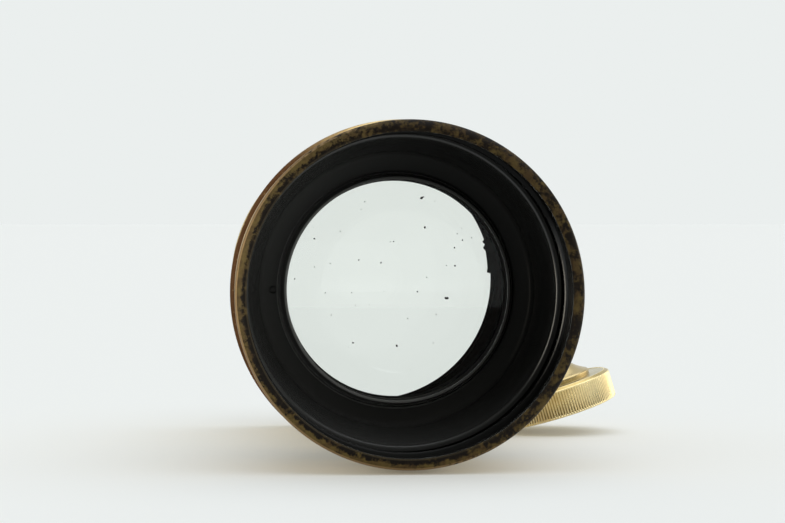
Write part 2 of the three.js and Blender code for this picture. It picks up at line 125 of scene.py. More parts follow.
def turned(name, points, place=LENS, closed=True, steps=ROUND, shape=None):
    """A turned piece. shape(r, s, angle) may move a point's radius, for knurls and damage."""
    outline = rounded(points, closed)

    def build(bm):
        rings = []
        for r, s in outline:
            if r < 1e-6:
                rings.append([bm.verts.new((0, s, 0))])
                continue
            ring = []
            for k in range(steps):
                angle = 2 * math.pi * k / steps
                radius = shape(r, s, angle) if shape else r
                ring.append(bm.verts.new((radius * math.cos(angle), s, radius * math.sin(angle))))
            rings.append(ring)
        pairs = list(zip(rings, rings[1:] + rings[:1])) if closed else list(zip(rings, rings[1:]))
        for a, b in pairs:
            for k in range(steps):
                corners = [a[k % len(a)], a[(k + 1) % len(a)], b[(k + 1) % len(b)], b[k % len(b)]]
                bm.faces.new(list(dict.fromkeys(corners)))

    return mesh_object(name, build, place)


def extruded(name, outline, low, high, place=DRIVE):
    """A straight piece: its outline lies in the frame's x and y, and runs from low to high along z."""
    def build(bm):
        bottom = [bm.verts.new((x, y, low)) for x, y in outline]
        top = [bm.verts.new((x, y, high)) for x, y in outline]
        bm.faces.new(bottom)
        bm.faces.new(top)
        for k in range(len(outline)):
            after = (k + 1) % len(outline)
            bm.faces.new((bottom[k], bottom[after], top[after], top[k]))

    return mesh_object(name, build, place)


def bake_modifiers(obj):
    """Make the result of obj's modifiers its mesh."""
    bpy.context.view_layer.update()
    depsgraph = bpy.context.evaluated_depsgraph_get()
    mesh = bpy.data.meshes.new_from_object(obj.evaluated_get(depsgraph))
    obj.modifiers.clear()
    obj.data = mesh
    return obj


def carved(obj, *cutters):
    """obj with the cutters taken out of it. The cutters are used up."""
    for cutter in cutters:
        modifier = obj.modifiers.new("cut", "BOOLEAN")
        modifier.operation = "DIFFERENCE"
        modifier.solver = "EXACT"
        modifier.object = cutter
    bake_modifiers(obj)
    for cutter in cutters:
        bpy.data.objects.remove(cutter)
    obj.data.shade_smooth()
    obj.data.set_sharp_from_angle(angle=SHARP)
    return obj


def bevelled(obj, width, segments=3):
    """obj with its sharp edges rounded over width millimetres."""
    modifier = obj.modifiers.new("bevel", "BEVEL")
    modifier.width = width * MM
    modifier.segments = segments
    modifier.limit_method = "ANGLE"
    modifier.angle_limit = SHARP
    modifier.harden_normals = True
    bake_modifiers(obj)
    return obj


def block(name, low, high, place=DRIVE):
    """A plain box between two corners."""
    outline = [(low[0], low[1]), (high[0], low[1]), (high[0], high[1]), (low[0], high[1])]
    return extruded(name, outline, low[2], high[2], place)


def rod(name, r, low, high, place, steps=48):
    """A plain cylinder on the frame's y axis, used as a cutter."""
    return turned(name, [(0, low), (r, low), (r, high), (0, high)], place, closed=False, steps=steps)


def add_piece(obj, body, slot, material, *nodes):
    """Give obj its finish, and let it ride a body in place of the CAD nodes named."""
    obj.data.materials.clear()
    obj.data.materials.append(material)
    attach(obj, body)
    if nodes:
        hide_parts(*nodes)
    return obj


# ---- Materials ----
class Surface:
    """A Principled material with short calls for the nodes that the finishes below are built from."""

    def __init__(self, name, color=(0.8, 0.8, 0.8), metallic=0.0, roughness=0.5, **sockets):
        self.material = bpy.data.materials.new(name)
        self.material.use_nodes = True
        self.nodes = self.material.node_tree.nodes
        self.links = self.material.node_tree.links
        self.shader = self.nodes["Principled BSDF"]
        self.shader.inputs["Base Color"].default_value = (*color, 1)
        self.shader.inputs["Metallic"].default_value = metallic
        self.shader.inputs["Roughness"].default_value = roughness
        for socket, value in sockets.items():
            self.shader.inputs[socket.replace("_", " ")].default_value = value

    def feed(self, value, socket):
        """Link a node's output to a socket, or set the socket to a plain value."""
        if isinstance(value, bpy.types.NodeSocket):
            self.links.new(value, socket)
        else:
            socket.default_value = value

    def into(self, socket, value):
        """Drive one socket of the shader."""
        self.feed(value, self.shader.inputs[socket])

    def math(self, operation, a, b=0.0, clamp=False):
        node = self.nodes.new("ShaderNodeMath")
        node.operation = operation
        node.use_clamp = clamp
        self.feed(a, node.inputs[0])
        self.feed(b, node.inputs[1])
        return node.outputs[0]

    def times(self, *values):
        product = values[0]
        for value in values[1:]:
            product = self.math("MULTIPLY", product, value)
        return product

    def plus(self, *values):
        total = values[0]
        for value in values[1:]:
            total = self.math("ADD", total, value)
        return total

    def inverse(self, value):
        return self.math("SUBTRACT", 1.0, value)

    def parts(self, vector):
        """The three numbers of a vector."""
        node = self.nodes.new("ShaderNodeSeparateXYZ")
        self.links.new(vector, node.inputs[0])
        return node.outputs

    def space(self, place):
        """Object coordinates in the millimetres of the frame given by place."""
        coordinates = self.nodes.new("ShaderNodeTexCoord")
        mapping = self.nodes.new("ShaderNodeMapping")
        mapping.vector_type = "TEXTURE"
        mapping.inputs["Location"].default_value = place.to_translation()
        mapping.inputs["Rotation"].default_value = place.to_euler()
        mapping.inputs["Scale"].default_value = (MM, MM, MM)
        self.links.new(coordinates.outputs["Object"], mapping.inputs["Vector"])
        return mapping.outputs["Vector"]

    def turning(self, place):
        """(distance from the axis, distance along it) of a turned piece."""
        x, along, z = self.parts(self.space(place))
        return self.math("SQRT", self.plus(self.times(x, x), self.times(z, z))), along

    def combine(self, x, y, z=0.0):
        node = self.nodes.new("ShaderNodeCombineXYZ")
        for value, socket in zip((x, y, z), node.inputs):
            self.feed(value, socket)
        return node.outputs[0]

    def noise(self, vector, scale, detail=3.0, roughness=0.55, distortion=0.0):
        node = self.nodes.new("ShaderNodeTexNoise")
        self.links.new(vector, node.inputs["Vector"])
        node.inputs["Scale"].default_value = scale
        node.inputs["Detail"].default_value = detail
        node.inputs["Roughness"].default_value = roughness
        node.inputs["Distortion"].default_value = distortion
        return node.outputs["Fac"]

    def step(self, value, low, high):
        """0 below low, 1 above high, smooth in between. Low above high turns it round."""
        node = self.nodes.new("ShaderNodeMapRange")
        node.interpolation_type = "SMOOTHSTEP"
        self.feed(value, node.inputs["Value"])
        if low <= high:
            ends = (low, high, 0.0, 1.0)
        else:
            ends = (high, low, 1.0, 0.0)
        for socket, end in zip(("From Min", "From Max", "To Min", "To Max"), ends):
            node.inputs[socket].default_value = end
        return node.outputs["Result"]

    def ramp(self, value, *stops):
        """Colours by value: stops are (position, (r, g, b))."""
        node = self.nodes.new("ShaderNodeValToRGB")
        elements = node.color_ramp.elements
        while len(elements) < len(stops):
            elements.new(1.0)
        for element, (position, color) in zip(elements, stops):
            element.position = position
            element.color = (*color, 1)
        self.feed(value, node.inputs["Fac"])
        return node.outputs["Color"]

    def blend(self, amount, a, b):
        """Colour a where amount is 0, b where it is 1."""
        node = self.nodes.new("ShaderNodeMix")
        node.data_type = "RGBA"
        self.feed(amount, node.inputs[0])
        for value, socket in ((a, node.inputs[6]), (b, node.inputs[7])):
            self.feed((*value, 1) if isinstance(value, tuple) else value, socket)
        return node.outputs[2]

    def span(self, amount, low, high):
        """A number that runs from low to high as amount goes from 0 to 1."""
        return self.plus(self.times(amount, high - low), low)

    def bump(self, height, distance):
        """Relief from height, whose full range is distance millimetres deep."""
        node = self.nodes.new("ShaderNodeBump")
        node.inputs["Strength"].default_value = 1.0
        node.inputs["Distance"].default_value = distance * MM
        self.links.new(height, node.inputs["Height"])
        self.links.new(node.outputs["Normal"], self.shader.inputs["Normal"])


BRASS_BRIGHT = (0.95, 0.80, 0.45)
BRASS_CLEAN = (0.85, 0.68, 0.36)
BRASS_GOLD = (0.50, 0.34, 0.12)
BRASS_BROWN = (0.17, 0.095, 0.035)
BRASS_DARK = (0.05, 0.03, 0.016)


def turned_brass(name, place, bright=BRASS_CLEAN, tarnish=0.35, roughness=0.3):
    """Lacquered brass off the lathe: fine rings, cloudy tarnish and dark spots."""
    surface = Surface(name, metallic=1.0)
    vector = surface.space(place)
    radius, along = surface.turning(place)
    rings = surface.noise(surface.combine(radius, along), 6.0, detail=5, roughness=0.7)
    clouds = surface.noise(vector, 0.09, detail=6, roughness=0.62, distortion=0.4)
    spots = surface.step(surface.noise(vector, 0.55, detail=3), 0.66, 0.74)
    brown = surface.times(surface.step(clouds, 0.40, 0.68), tarnish)
    color = surface.blend(brown, bright, BRASS_BROWN)
    color = surface.blend(surface.times(spots, 0.55), color, BRASS_DARK)
    color = surface.blend(surface.times(surface.step(rings, 0.45, 0.75), 0.18), color, BRASS_BROWN)
    surface.into("Base Color", color)
    rough = surface.span(clouds, roughness - 0.12, roughness + 0.12)
    surface.into("Roughness", surface.plus(rough, surface.times(spots, 0.2)))
    surface.bump(rings, 0.012)
    return surface.material


FADE_HALF = 34.0                               # how far from the axis the change from side to side ends


def side_to_side(surface, vector, lean=0.5):
    """1 on the side away from the knob, 0 on the knob's side. lean makes the underside count as well."""
    x, _, z = surface.parts(vector)
    return surface.step(surface.plus(x, surface.times(z, lean)), FADE_HALF, -FADE_HALF)


def black_lacquer(level=0.075, sheen=0.28, roughness=0.15):
    """Stove-black of the cell: satin, with turning rings and dust, painted lighter on the side away from the
    knob and on the ring, with painted highlights on the ring's edge and the ledge's corner.
    """
    surface = Surface("cell_black_lacquer")
    vector = surface.space(LENS)
    radius, along = surface.turning(LENS)
    rings = surface.noise(surface.combine(radius, along), 2.2, detail=4, roughness=0.6)
    dust = surface.step(surface.noise(vector, 1.6, detail=4, roughness=0.7), 0.60, 0.82)
    # Painted light: the black is painted lighter on the side away from the knob.
    painted_side_light = surface.span(side_to_side(surface, vector), 0.26, 1.05)
    in_front = surface.step(along, RING_REAR + 1.0, RING_REAR + 0.2)
    in_front = surface.math("MAXIMUM", in_front, surface.step(radius, BARREL_R + 1.1, BARREL_R + 1.7))
    # Painted light: the ring, which sits in shade, is painted lighter than the cell.
    ring = surface.step(radius, RING_R + 0.1, RING_R)
    shade = surface.times(painted_side_light, surface.span(ring, level, level * RING_PAINTED_LIFT), in_front)
    shade = surface.plus(shade, surface.span(dust, 0.0015, 0.006))

    # Painted highlights: the ring's front edge and the corner at the ledge are painted grey on the side away
    # from the knob.
    side = side_to_side(surface, vector, 0.8)
    side = surface.times(side, side)
    ring_edge_highlight = surface.times(surface.step(radius, RING_BORE_R + 0.85, RING_BORE_R + 0.6),
                              surface.step(along, RING_FRONT + 0.6, RING_FRONT + 0.35))
    shade = surface.plus(shade, surface.times(ring_edge_highlight, surface.span(side, 0.0, 0.17)))
    corner = surface.times(surface.step(radius, RING_R + 0.85, RING_R + 0.65),
                           surface.step(along, LEDGE - 0.12, LEDGE - 0.02))
    shade = surface.plus(shade, surface.times(corner, surface.span(side, 0.0, 0.14)))
    surface.into("Base Color", surface.combine(shade, shade, surface.times(shade, 0.94)))

    # The ring's bore and the ledge are dull, and the edge of the cell's mouth is polished.
    bore = surface.times(surface.step(radius, RING_BORE_R + 0.5, RING_BORE_R + 0.35),
                         surface.step(along, RING_FRONT + 0.2, RING_FRONT + 0.5))
    shiny = surface.math("SUBTRACT", in_front, bore, clamp=True)
    ledge = surface.times(surface.step(along, LEDGE - 2.0, LEDGE - 1.4),
                          surface.step(radius, RING_R + 0.1, RING_R + 0.3))
    mouth_edge = surface.times(surface.step(along, CELL_FRONT + 1.8, CELL_FRONT + 1.2),
                               surface.step(radius, CELL_MOUTH_R - 1.8, CELL_MOUTH_R - 1.4))
    shiny = surface.times(shiny, surface.span(ledge, sheen, sheen * 0.08),
                          surface.span(mouth_edge, 1.0, 1.45))
    surface.into("Specular IOR Level", shiny)
    surface.into("Roughness", surface.span(rings, roughness - 0.03, roughness + 0.06))
    surface.bump(rings, 0.006)
    return surface.material


def barrel_finish():
    """The barrel tube: brass outside, dull red-black inside."""
    surface = Surface("barrel_brass_and_black")
    vector = surface.space(LENS)
    radius, along = surface.turning(LENS)
    rings = surface.noise(surface.combine(radius, along), 6.0, detail=5, roughness=0.7)
    clouds = surface.noise(vector, 0.12, detail=6, roughness=0.62, distortion=0.4)
    brass = surface.blend(surface.step(clouds, 0.42, 0.66), BRASS_CLEAN, BRASS_GOLD)
    black = surface.blend(clouds, (0.010, 0.004, 0.006), (0.020, 0.008, 0.009))
    outside = surface.step(radius, BARREL_BORE_R + 0.5, BARREL_BORE_R + 0.9)
    surface.into("Base Color", surface.blend(outside, black, brass))
    surface.into("Metallic", outside)
    surface.into("Specular IOR Level", surface.times(outside, 0.5))
    surface.into("Roughness", surface.span(rings, 0.28, 0.52))
    surface.bump(rings, 0.012)
    return surface.material


def matt_black():
    """Dull red-black of the cells round the glass."""
    surface = Surface("cell_matt_black", roughness=0.9, Specular_IOR_Level=0.0)
    vector = surface.space(LENS)
    clouds = surface.noise(vector, 0.5, detail=6, roughness=0.65)
    rings = surface.noise(surface.combine(*surface.turning(LENS)), 3.0, detail=4)
    surface.into("Base Color", surface.blend(clouds, (0.008, 0.004, 0.005), (0.024, 0.010, 0.010)))
    surface.bump(rings, 0.02)
    return surface.material


def worn_hood():
    """Black lacquer inside and on the face, rubbed through in patches, and tarnished brass outside."""
    surface = Surface("hood_worn_lacquer")
    vector = surface.space(LENS)
    radius, along = surface.turning(LENS)
    side = side_to_side(surface, vector)
    rings = surface.noise(surface.combine(radius, along), 5.0, detail=4, roughness=0.65)

    # Patches of bare brass on the face, more of them on the side away from the knob.
    patches = surface.noise(vector, 0.25, detail=7, roughness=0.62, distortion=0.25)
    crumbs = surface.noise(vector, 0.9, detail=5, roughness=0.7)
    outward = surface.span(surface.step(radius, MOUTH_R + 0.8, EDGE_R - 1.0), -0.050, 0.100)
    wear = surface.plus(surface.times(patches, 0.58), surface.times(crumbs, 0.42),
                        surface.times(outward, side), surface.span(side, -0.012, 0.0))
    bare = surface.times(surface.step(wear, 0.450, 0.570), surface.span(side, 0.62, 1.0))
    brown = surface.step(surface.noise(vector, 0.4, detail=6, roughness=0.7), 0.38, 0.64)
    face_brass = surface.blend(brown, (0.138, 0.095, 0.030), (0.085, 0.052, 0.021))
    face_black = surface.blend(crumbs, (0.004, 0.0035, 0.003), (0.020, 0.014, 0.010))
    face = surface.blend(bare, face_black, face_brass)

    # The sleeve is aged brass, with a brown patch on its bead.
    outside = surface.step(along, 0.1, 0.9)
    tarnish = surface.step(surface.noise(vector, 0.11, detail=6, roughness=0.62), 0.36, 0.66)
    brown_bead = surface.blend(tarnish, (0.16, 0.078, 0.036), (0.11, 0.052, 0.024))
    sleeve = surface.blend(tarnish, (0.72, 0.55, 0.26), (0.42, 0.27, 0.11))
    off_bead = surface.math("ABSOLUTE", surface.plus(along, -BEAD_STATION))
    off_bead = surface.plus(off_bead, surface.span(crumbs, -2.2, 2.2))
    dull = surface.times(surface.step(off_bead, 4.2, 1.6), surface.step(side, 0.25, 0.8))
    color = surface.blend(outside, face, surface.blend(dull, sleeve, brown_bead))

    # The outer edge of the face is rubbed to bare brass, laid on mostly on the side away from the knob, where
    # it is a painted highlight.
    rubbed_and_lit = surface.step(surface.plus(crumbs, surface.span(side, -0.25, 0.16)), 0.38, 0.6)
    rub_and_highlight = surface.times(surface.step(radius, EDGE_R - 0.68, EDGE_R - 0.48),
                        surface.step(along, 0.45, -0.3), rubbed_and_lit)
    color = surface.blend(surface.times(rub_and_highlight, 0.85), color, (0.29, 0.195, 0.10))

    # Inside the mouth everything is black, painted lighter on the side away from the knob. A thin line of
    # worn brass runs round the inner edge of the lip, kept to that side as a painted highlight.
    inside = surface.times(surface.step(radius, BORE_R + 0.3, BORE_R + 0.15), surface.step(along, 0.0, 0.8))
    mouth = surface.times(surface.step(radius, MOUTH_R + 0.35, MOUTH_R + 0.1),
                          surface.step(along, 0.15 - LIP, 0.4 - LIP))
    inside = surface.math("MAXIMUM", inside, mouth)
    lip_line = surface.times(surface.step(radius, MOUTH_R + 0.55, MOUTH_R + 0.25),
                             surface.step(along, 0.28 - LIP, 0.12 - LIP), surface.span(side, 0.0, 0.45))
    color = surface.blend(lip_line, color, (0.10, 0.08, 0.05))
    # Painted light: the black inside the mouth is painted lighter on the side away from the knob.
    mouth_painted_level = surface.span(side, 0.003, 0.024)
    mouth_black = surface.combine(mouth_painted_level, mouth_painted_level, surface.times(mouth_painted_level, 0.94))
    surface.into("Base Color", surface.blend(inside, color, mouth_black))

    metal = surface.math("MAXIMUM", surface.times(bare, 0.05), rub_and_highlight)
    metal = surface.times(metal, surface.inverse(outside))
    polished = surface.times(outside, surface.inverse(dull))
    metal = surface.math("MAXIMUM", metal, polished)
    surface.into("Metallic", surface.times(metal, surface.inverse(inside)))

    # The lacquer has kept its gloss from the ridge inwards, most of all on the ridge's sides.
    height = surface.parts(vector)[2]
    glossy = surface.times(surface.step(height, -17.0, -5.0), surface.step(height, 20.0, 12.0))
    from_ridge = surface.step(along, RIDGE_STATION - 2.3, RIDGE_STATION - 0.8)
    deep = surface.times(from_ridge, surface.span(glossy, 0.08, 0.36))
    shine = surface.math("MAXIMUM", surface.span(inside, 0.06, 0.02), deep)
    surface.into("Specular IOR Level", surface.times(shine, surface.inverse(dull)))
    rough = surface.plus(surface.span(crumbs, 0.24, 0.5), surface.times(bare, 0.12))
    surface.into("Roughness", surface.times(rough, surface.span(inside, 1.0, 0.4)))
    surface.bump(surface.plus(surface.times(rings, 0.35), surface.times(bare, -0.65)), 0.03)
    return surface.material


def knob_brass():
    """Bright brass, painted paler on one side as painted light, with darkened knurl grooves, an olive bevel
    and a browner hub.
    """
    surface = Surface("knob_knurled_brass", metallic=1.0)
    vector = surface.space(SHAFT)
    radius, along = surface.turning(SHAFT)
    rings = surface.noise(surface.combine(radius, along), 5.0, detail=4, roughness=0.65)
    clouds = surface.noise(vector, 0.2, detail=6, roughness=0.62, distortion=0.3)
    color = surface.blend(surface.step(clouds, 0.42, 0.70), BRASS_BRIGHT, (0.80, 0.62, 0.30))
    on_band = surface.step(along, KNOB_INNER + 0.7, KNOB_INNER + 0.9)
    groove = surface.times(surface.step(radius, KNOB_R - 0.18, KNOB_R - 0.33),
                           surface.step(radius, KNOB_R - 0.60, KNOB_R - 0.45), on_band)
    # Painted light: one side of the knob is painted paler, where the light falls on it.
    painted_lit_side = surface.step(surface.parts(vector)[0], -6.0, 15.0)
    color = surface.blend(surface.times(painted_lit_side, 0.8), color, (0.90, 0.77, 0.44))
    # The knurl's grooves are darkened, less so on the painted lit side.
    groove_darkening = surface.times(groove, surface.span(painted_lit_side, 0.6, 0.2))
    color = surface.blend(groove_darkening, color, (0.20, 0.11, 0.03))
    inner_face = surface.step(along, KNOB_INNER + 0.75, KNOB_INNER + 0.65)
    bevel = surface.times(inner_face, surface.step(radius, KNOB_BEVEL_R + 0.1, KNOB_BEVEL_R + 0.25))
    color = surface.blend(surface.times(bevel, 0.9), color, (0.50, 0.37, 0.13))
    land = surface.times(inner_face, surface.step(radius, KNOB_BEVEL_R - 0.1, KNOB_BEVEL_R - 0.25))
    color = surface.blend(surface.times(land, 0.9), color, (0.50, 0.44, 0.28))
    hub = surface.step(radius, KNOB_BOSS_R + 0.1, KNOB_BOSS_R - 0.05)
    color = surface.blend(surface.times(hub, 0.85), color, (0.50, 0.38, 0.17))
    surface.into("Base Color", color)
    surface.into("Roughness", surface.span(clouds, 0.16, 0.42))
    surface.bump(rings, 0.01)
    return surface.material


def blued_steel():
    surface = Surface("blued_steel", metallic=1.0)
    vector = surface.space(LENS)
    clouds = surface.noise(vector, 0.8, detail=6, roughness=0.65)
    rust = surface.step(surface.noise(vector, 1.9, detail=5, roughness=0.7), 0.58, 0.72)
    color = surface.blend(clouds, (0.16, 0.16, 0.17), (0.34, 0.33, 0.32))
    surface.into("Base Color", surface.blend(surface.times(rust, 0.6), color, (0.13, 0.07, 0.035)))
    surface.into("Roughness", surface.span(clouds, 0.28, 0.5))
    surface.bump(clouds, 0.02)
    return surface.material


def optical_glass(name, color, ior):
    """Polished glass with a very faint film of haze on it."""
    surface = Surface(name, color=color, roughness=0.0, IOR=ior, Transmission_Weight=1.0,
                      Specular_Tint=(0.3, 0.3, 0.3, 1))
    haze = surface.noise(surface.space(LENS), 0.12, detail=5, roughness=0.7)
    surface.into("Roughness", surface.times(surface.step(haze, 0.55, 0.85), 0.012))
    return surface.material


def dark_speck():
    surface = Surface("dust_speck", roughness=0.8)
    grain = surface.noise(surface.space(LENS), 4.0)
    surface.into("Base Color", surface.ramp(grain, (0.3, (0.015, 0.014, 0.012)), (0.7, (0.05, 0.045, 0.04))))
    return surface.material


# ---- Hood ----
MOUTH_R = 40.0
EDGE_R = 43.0
WALL_R = 42.9
BORE_R = 41.3
BEAD_R = 44.0
BEAD_STATION = 23.5
HOOD_END = 34.0
RIDGE_STATION = 13.8
RIDGE_R = 39.9
RIDGE_HALF = 0.6


def arc(center_r, center_s, half_r, half_s, start, end, steps):
    """Points on an ellipse in the outline plane, with angles in degrees from +r towards +s."""
    points = []
    for k in range(steps + 1):
        turn = math.radians(start + (end - start) * k / steps)
        points.append((center_r + half_r * math.cos(turn), center_s + half_s * math.sin(turn)))
    return points


def hood():
    lip = arc(MOUTH_R, 0, EDGE_R - MOUTH_R, LIP, -86, 0, 14)
    bead = arc(WALL_R, BEAD_STATION, BEAD_R - WALL_R, 1.6, -88, 88, 16)
    outer = [(MOUTH_R, -LIP, 0.12), *lip, (WALL_R, 0.8), (WALL_R, BEAD_STATION - 2.2), *bead,
             (WALL_R, BEAD_STATION + 2.2), (WALL_R, HOOD_END, 0.25)]
    ridge = arc(BORE_R, RIDGE_STATION, RIDGE_R - BORE_R, RIDGE_HALF, 84, -84, 16)
    inner = [(BORE_R, HOOD_END, 0.25), (BORE_R, RIDGE_STATION + 1.4), *ridge, (BORE_R, RIDGE_STATION - 1.4),
             (BORE_R, 1.9, 0.4), (MOUTH_R, 0.7, 0.3)]
    return turned("hood_shell", outer + inner, steps=256)


# ---- Front cell, its ring and the doublet ----
CELL_FRONT = 25.0
CELL_MOUTH_R = 39.4
LEDGE = 47.0
LEDGE_R = 36.2
CELL_TAPER = ((41.4, 39.5, 0.9), (39.2, 46.5, 2.0), (37.6, 49.5, 1.2))
CELL_NECK = 51.0
CELL_NECK_R = 35.0
CELL_END = 65.0
DOUBLET_REAR = 58.4
DOUBLET_STOP_R = 28.3
LOCK_SCREW_R = 1.0
LOCK_SCREW_FROM_AXIS = 32.6
GLASS_R = 29.7
GLASS_EDGE = 50.6
RING_FRONT = 42.3
RING_BORE_R = 29.1
RING_R = 30.9
RING_REAR = 49.7
RING_PAINTED_LIFT = 2.6                                # how much lighter the ring's black is painted than the cell's: painted light
BARREL_FRONT = 60.8
BARREL_R = 32.5
KNURL_DEPTH = 0.22


def knurl(r_crest, teeth, low, high, depth=KNURL_DEPTH, run_out=0.35):
    """A shape function that cuts straight knurls round a band, fading out at its two ends."""
    def shape(r, s, angle):
        if not low < s < high or r < r_crest - 0.05:
            return r
        fade = min(1.0, (s - low) / run_out, (high - s) / run_out)
        phase = (angle * teeth / (2 * math.pi)) % 1.0
        return r - depth * fade * (0.5 + 0.5 * math.cos(2 * math.pi * phase))

    return shape


def front_cell():
    seat = BORE_R - GAP
    shoulder = HOOD_END + GAP
    band = [(EDGE_R, s) for s in (shoulder + 0.55, shoulder + 0.95, shoulder + 3.2, shoulder + 3.6)]
    outer = [(CELL_MOUTH_R, CELL_FRONT, 1.3), (seat, CELL_FRONT + 0.1, 0.3), (seat, shoulder),
             (EDGE_R, shoulder, 0.4), *band, (EDGE_R, HOOD_END + 4.5, 0.4), *CELL_TAPER,
             (CELL_NECK_R, CELL_NECK, 0.8), (CELL_NECK_R, CELL_END, 0.3)]
    inner = [(BARREL_R + GAP, CELL_END), (BARREL_R + GAP, BARREL_FRONT - GAP),
             (DOUBLET_STOP_R, BARREL_FRONT - GAP), (DOUBLET_STOP_R, DOUBLET_REAR),
             (GLASS_R + GAP, DOUBLET_REAR), (GLASS_R + GAP, RING_REAR + GAP),
             (RING_R + GAP, RING_REAR + GAP), (RING_R + GAP, LEDGE, 0.5), (LEDGE_R, LEDGE, 1.4)]
    teeth = 220
    shape = knurl(EDGE_R, teeth, shoulder + 0.5, shoulder + 3.7)
    shell = turned("front_cell_shell", outer + inner, steps=teeth * 4, shape=shape)
    at_screw = LENS @ Matrix.Translation((-LOCK_SCREW_FROM_AXIS, 0, 0))
    return carved(shell, rod("cutter", LOCK_SCREW_R, LEDGE - 1, LEDGE + 2.6, at_screw, steps=32))


def retaining_ring():
    outer = [(RING_BORE_R, RING_FRONT, 0.12), (RING_BORE_R + 0.7, RING_FRONT + 0.1, 0.25),
             (RING_R - 0.35, LEDGE - 0.5, 0.3), (RING_R, LEDGE), (RING_R, RING_REAR),
             (GLASS_R, RING_REAR + 0.4)]
    inner = [(RING_BORE_R, RING_REAR + 0.4), (RING_BORE_R, LEDGE - 1.0), (RING_BORE_R + 0.15, LEDGE - 2.5)]
    return turned("front_ring", outer + inner)


def sagitta(radius, r):
    """How far a sphere of this radius has fallen back at distance r from the axis."""
    return radius - math.sqrt(radius * radius - r * r)


def lens_surface(vertex, radius, edge_r, steps=28):
    """Points from the axis to the edge. A positive radius bulges towards the mouth, and None is flat."""
    points = []
    for k in range(steps + 1):
        r = edge_r * k / steps
        rise = math.copysign(sagitta(abs(radius), r), radius) if radius else 0.0
        points.append((r, vertex + rise))
    return points


def lens(name, front, rear, edge_r):
    """A lens from (vertex, radius) of its two surfaces."""
    outline = lens_surface(*front, edge_r) + lens_surface(*rear, edge_r)[::-1]
    return turned(name, outline, closed=False)


CROWN_RADIUS = 116
CEMENT_RADIUS = 110
CROWN_VERTEX = GLASS_EDGE - sagitta(CROWN_RADIUS, GLASS_R)
CROWN_EDGE_WIDTH = 1.6
CEMENT_VERTEX = GLASS_EDGE + CROWN_EDGE_WIDTH + sagitta(CEMENT_RADIUS, GLASS_R)
CEMENT_GAP = 0.02
FLINT_REAR = 58.1

# ---- Rear cell and its pair ----
REAR_FRONT = 118.0
STOP_R = 27.6
REAR_LEDGE = 120.6
PAIR_R = 28.7
PAIR_FLINT_THICKNESS = 1.8
PAIR_CROWN_EDGE_WIDTH = 2.3
SPACER_LENGTH = 1.4
FLINT_FRONT_RADIUS = 190
FLINT_REAR_RADIUS = 62
CROWN_FRONT_RADIUS = 68
CROWN_REAR_RADIUS = 250
PAIR_FLINT_FRONT = REAR_LEDGE + GAP - sagitta(FLINT_FRONT_RADIUS, STOP_R)
PAIR_FLINT_REAR = PAIR_FLINT_FRONT + PAIR_FLINT_THICKNESS
SPACER_FRONT = PAIR_FLINT_REAR + sagitta(FLINT_REAR_RADIUS, PAIR_R) + GAP
SPACER_REAR = SPACER_FRONT + SPACER_LENGTH
SPACER_BORE_R = PAIR_R - 0.9
CROWN_BULGE = sagitta(CROWN_FRONT_RADIUS, PAIR_R) - sagitta(CROWN_FRONT_RADIUS, SPACER_BORE_R)
CROWN_EDGE_FRONT = SPACER_REAR + CROWN_BULGE + GAP / 2
CROWN_EDGE_REAR = CROWN_EDGE_FRONT + PAIR_CROWN_EDGE_WIDTH
REAR_RING_FRONT = CROWN_EDGE_REAR + GAP
REAR_RING_REAR = REAR_RING_FRONT + 3
REAR_BORE_R = 29.0
REAR_RIM = 136.5
REAR_RIM_R = 32.3
REAR_END = 139.4
BARREL_BORE_R = 30.9
CHIP_MIDDLE = math.radians(12)                 # above the rack's side, seen from the mouth
CHIP_HALF = math.radians(9)
CHIP_FLAKES = (1.9, 1.6, 1.4, 1.35, 1.3, 1.25, 1.2, 1.15, 1.1, 1.5, 0.8, 1.2, 0.5)


def chipped(r, s, angle):
    """Flakes of blacking that stand in past the stop's edge over a short stretch."""
    away = abs((angle - CHIP_MIDDLE + math.pi) % (2 * math.pi) - math.pi)
    if r > STOP_R + 0.3 or s > REAR_FRONT + 0.8 or away > CHIP_HALF:
        return r
    fade = min(1.0, (CHIP_HALF - away) / math.radians(1.0))
    place = ((angle - CHIP_MIDDLE + CHIP_HALF) % (2 * math.pi)) / (2 * CHIP_HALF) * (len(CHIP_FLAKES) - 1)
    first = min(int(place), len(CHIP_FLAKES) - 2)
    height = CHIP_FLAKES[first] + (CHIP_FLAKES[first + 1] - CHIP_FLAKES[first]) * (place - first)
    return r - fade * height


def rear_cell():
    body_r = BARREL_BORE_R - GAP
    band = [(REAR_RIM_R, s) for s in (REAR_RIM + 0.45, REAR_RIM + 0.8, REAR_END - 0.8, REAR_END - 0.45)]
    outer = [(STOP_R, REAR_FRONT, 0.15), (body_r, REAR_FRONT, 0.3), (body_r, REAR_RIM),
             (REAR_RIM_R, REAR_RIM, 0.3), *band, (REAR_RIM_R, REAR_END, 0.35)]
    inner = [(REAR_BORE_R, REAR_END, 0.3), (REAR_BORE_R, REAR_LEDGE), (STOP_R, REAR_LEDGE),
             (STOP_R, REAR_FRONT + 0.7)]
    teeth = 160
    rim = knurl(REAR_RIM_R, teeth, REAR_RIM + 0.4, REAR_END - 0.4)

    def shape(r, s, angle):
        return rim(chipped(r, s, angle), s, angle)

    return turned("rear_cell_shell", outer + inner, steps=teeth * 4, shape=shape)


def plain_ring(name, bore_r, outer_r, front, rear, fillet=0.2):
    corners = ((bore_r, front), (outer_r, front), (outer_r, rear), (bore_r, rear))
    return turned(name, [(*corner, fillet) for corner in corners])


